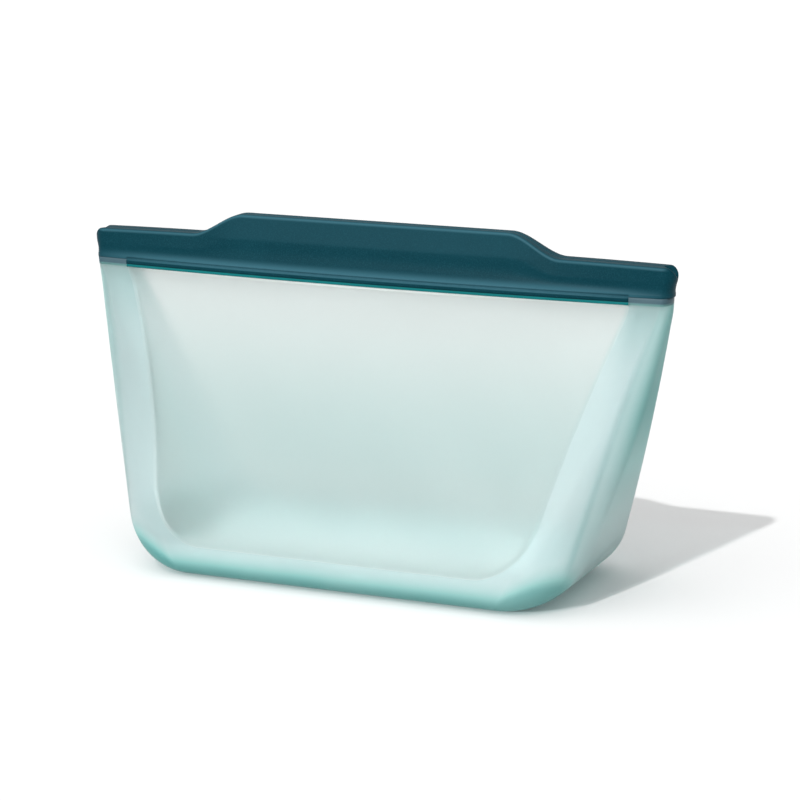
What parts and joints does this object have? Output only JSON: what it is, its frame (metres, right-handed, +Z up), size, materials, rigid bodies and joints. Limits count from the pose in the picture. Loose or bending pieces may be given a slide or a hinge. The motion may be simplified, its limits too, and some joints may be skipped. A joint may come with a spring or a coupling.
{
  "type": "stand-up silicone storage bag",
  "caption": "Closed stand-up food bag with a wide flat base, folded end gussets, translucent walls and a dark press-together closure rim with pull tabs.",
  "frame": {"origin": "on the floor, under the middle of the bag", "axes": "+X along the closure rim, +Y from the front wall to the rear wall, +Z up"},
  "size_m": [0.215, 0.0766, 0.123],
  "materials": {
    "body_silicone": "satin translucent silicone",
    "panel_silicone": "satin translucent silicone, thinner",
    "bond_silicone": "satin silicone",
    "rim_silicone": "matte silicone"
  },
  "bodies": {
    "base": {"base_pan": "body_silicone", "left_gusset": "body_silicone", "right_gusset": "body_silicone", "left_front_band": "body_silicone", "right_front_band": "body_silicone", "left_rear_band": "body_silicone", "right_rear_band": "body_silicone", "left_end_hinge": "rim_silicone", "right_end_hinge": "rim_silicone"},
    "front_wall": {"front_panel": "panel_silicone", "front_bond_bead": "bond_silicone", "front_bond_flange": "rim_silicone", "front_closure_strip": "rim_silicone", "seal_rib": "rim_silicone"},
    "rear_wall": {"rear_panel": "panel_silicone", "rear_bond_bead": "bond_silicone", "rear_bond_flange": "rim_silicone", "rear_closure_strip": "rim_silicone", "seal_channel": "rim_silicone"}
  },
  "joints": [
    {"name": "front_wall_flex", "type": "hinge", "parent": "base", "child": "front_wall", "pos_m": [0, -0.038, 0.012], "axis": [1, 0, 0], "range_deg": [0, 22]},
    {"name": "rear_wall_flex", "type": "hinge", "parent": "base", "child": "rear_wall", "pos_m": [0, 0.038, 0.012], "axis": [-1, 0, 0], "range_deg": [0, 22]}
  ]
}
